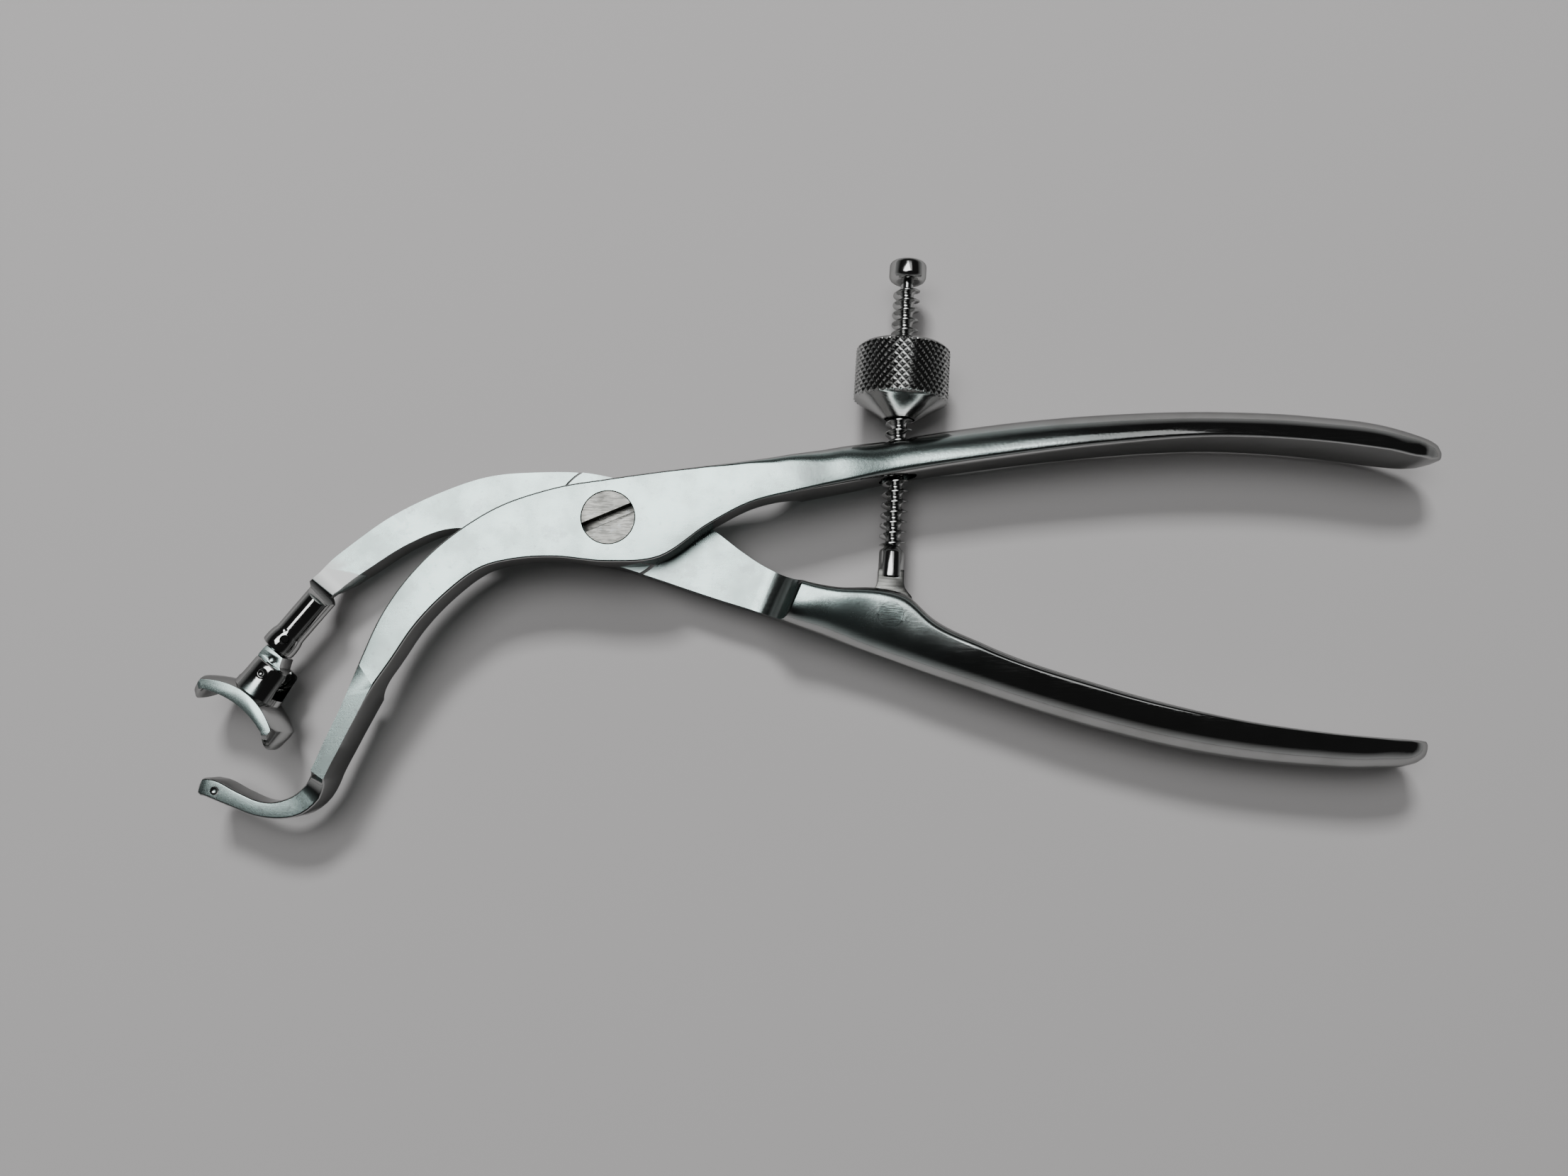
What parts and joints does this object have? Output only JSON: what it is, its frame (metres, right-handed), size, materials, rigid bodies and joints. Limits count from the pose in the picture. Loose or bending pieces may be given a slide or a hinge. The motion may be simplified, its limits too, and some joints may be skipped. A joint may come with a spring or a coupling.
{
  "type": "plate holding forceps",
  "caption": "Plate-holding forceps: crossed steel arms with a hooked jaw, a swivelling clawed foot and a threaded spindle with a knurled quick nut.",
  "frame": {"origin": "on the pivot axis, at the rear face of the joint", "axes": "+Z out of the front face along the pivot, +X along the handles, +Y towards the handle of the hooked arm and the nut"},
  "size_m": [0.1888, 0.0861, 0.0147],
  "materials": {
    "satin_steel": "satin stainless steel on the flat faces, blending into mirror polish on edges and handles",
    "polished_steel": "mirror-polished stainless steel",
    "inner_steel": "plain machined steel, hidden inside the nut"
  },
  "bodies": {
    "hook_arm": {"hook_arm": "satin_steel"},
    "foot_arm": {"foot_arm": "satin_steel", "pivot_screw": "satin_steel", "spindle_pin": "polished_steel", "swivel_retainer_1": "polished_steel", "swivel_retainer_2": "polished_steel", "swivel_retainer_3": "polished_steel"},
    "spindle": {"spindle": "polished_steel", "spindle_end_cap": "polished_steel"},
    "nut_slider": {"lock_spring": "inner_steel"},
    "nut": {"nut_sleeve": "polished_steel", "nut_cover": "polished_steel", "lock_segment_a": "inner_steel", "lock_segment_b": "inner_steel"},
    "swivel": {"swivel_post": "polished_steel"},
    "foot": {"foot_saddle": "polished_steel", "foot_pin": "polished_steel"}
  },
  "joints": [
    {"name": "jaw_pivot", "type": "hinge", "parent": "hook_arm", "child": "foot_arm", "pos_m": [0, 0, 0.0055], "axis": [0, 0, 1], "range_deg": [-3, 6]},
    {"name": "spindle_swing", "type": "hinge", "parent": "foot_arm", "child": "spindle", "pos_m": [0.042, -0.0144, 0.0055], "axis": [0, 0, 1], "range_deg": [-3, 1.5]},
    {"name": "nut_travel", "type": "slide", "parent": "spindle", "child": "nut_slider", "axis": [0.068, 0.9977, 0], "range_m": [0, 0.0104]},
    {"name": "nut_spin", "type": "hinge", "parent": "nut_slider", "child": "nut", "pos_m": [0.042, -0.0144, 0.0055], "axis": [0.068, 0.9977, 0], "range_deg": [0, 2339]},
    {"name": "foot_swivel", "type": "hinge", "parent": "foot_arm", "child": "swivel", "pos_m": [-0.05014, -0.01874, 0.0055], "axis": [-0.6298, -0.7768, 0], "continuous": true},
    {"name": "foot_tilt", "type": "hinge", "parent": "swivel", "child": "foot", "pos_m": [-0.05111, -0.02311, 0.0055], "axis": [0, 0, 1], "range_deg": [-10, 10]}
  ],
  "couplings": [
    {"joint": "spindle_swing", "follows": "jaw_pivot", "ratio": -0.5},
    {"joint": "nut_travel", "follows": "nut_spin", "m_per_rad": 0.00025465}
  ]
}
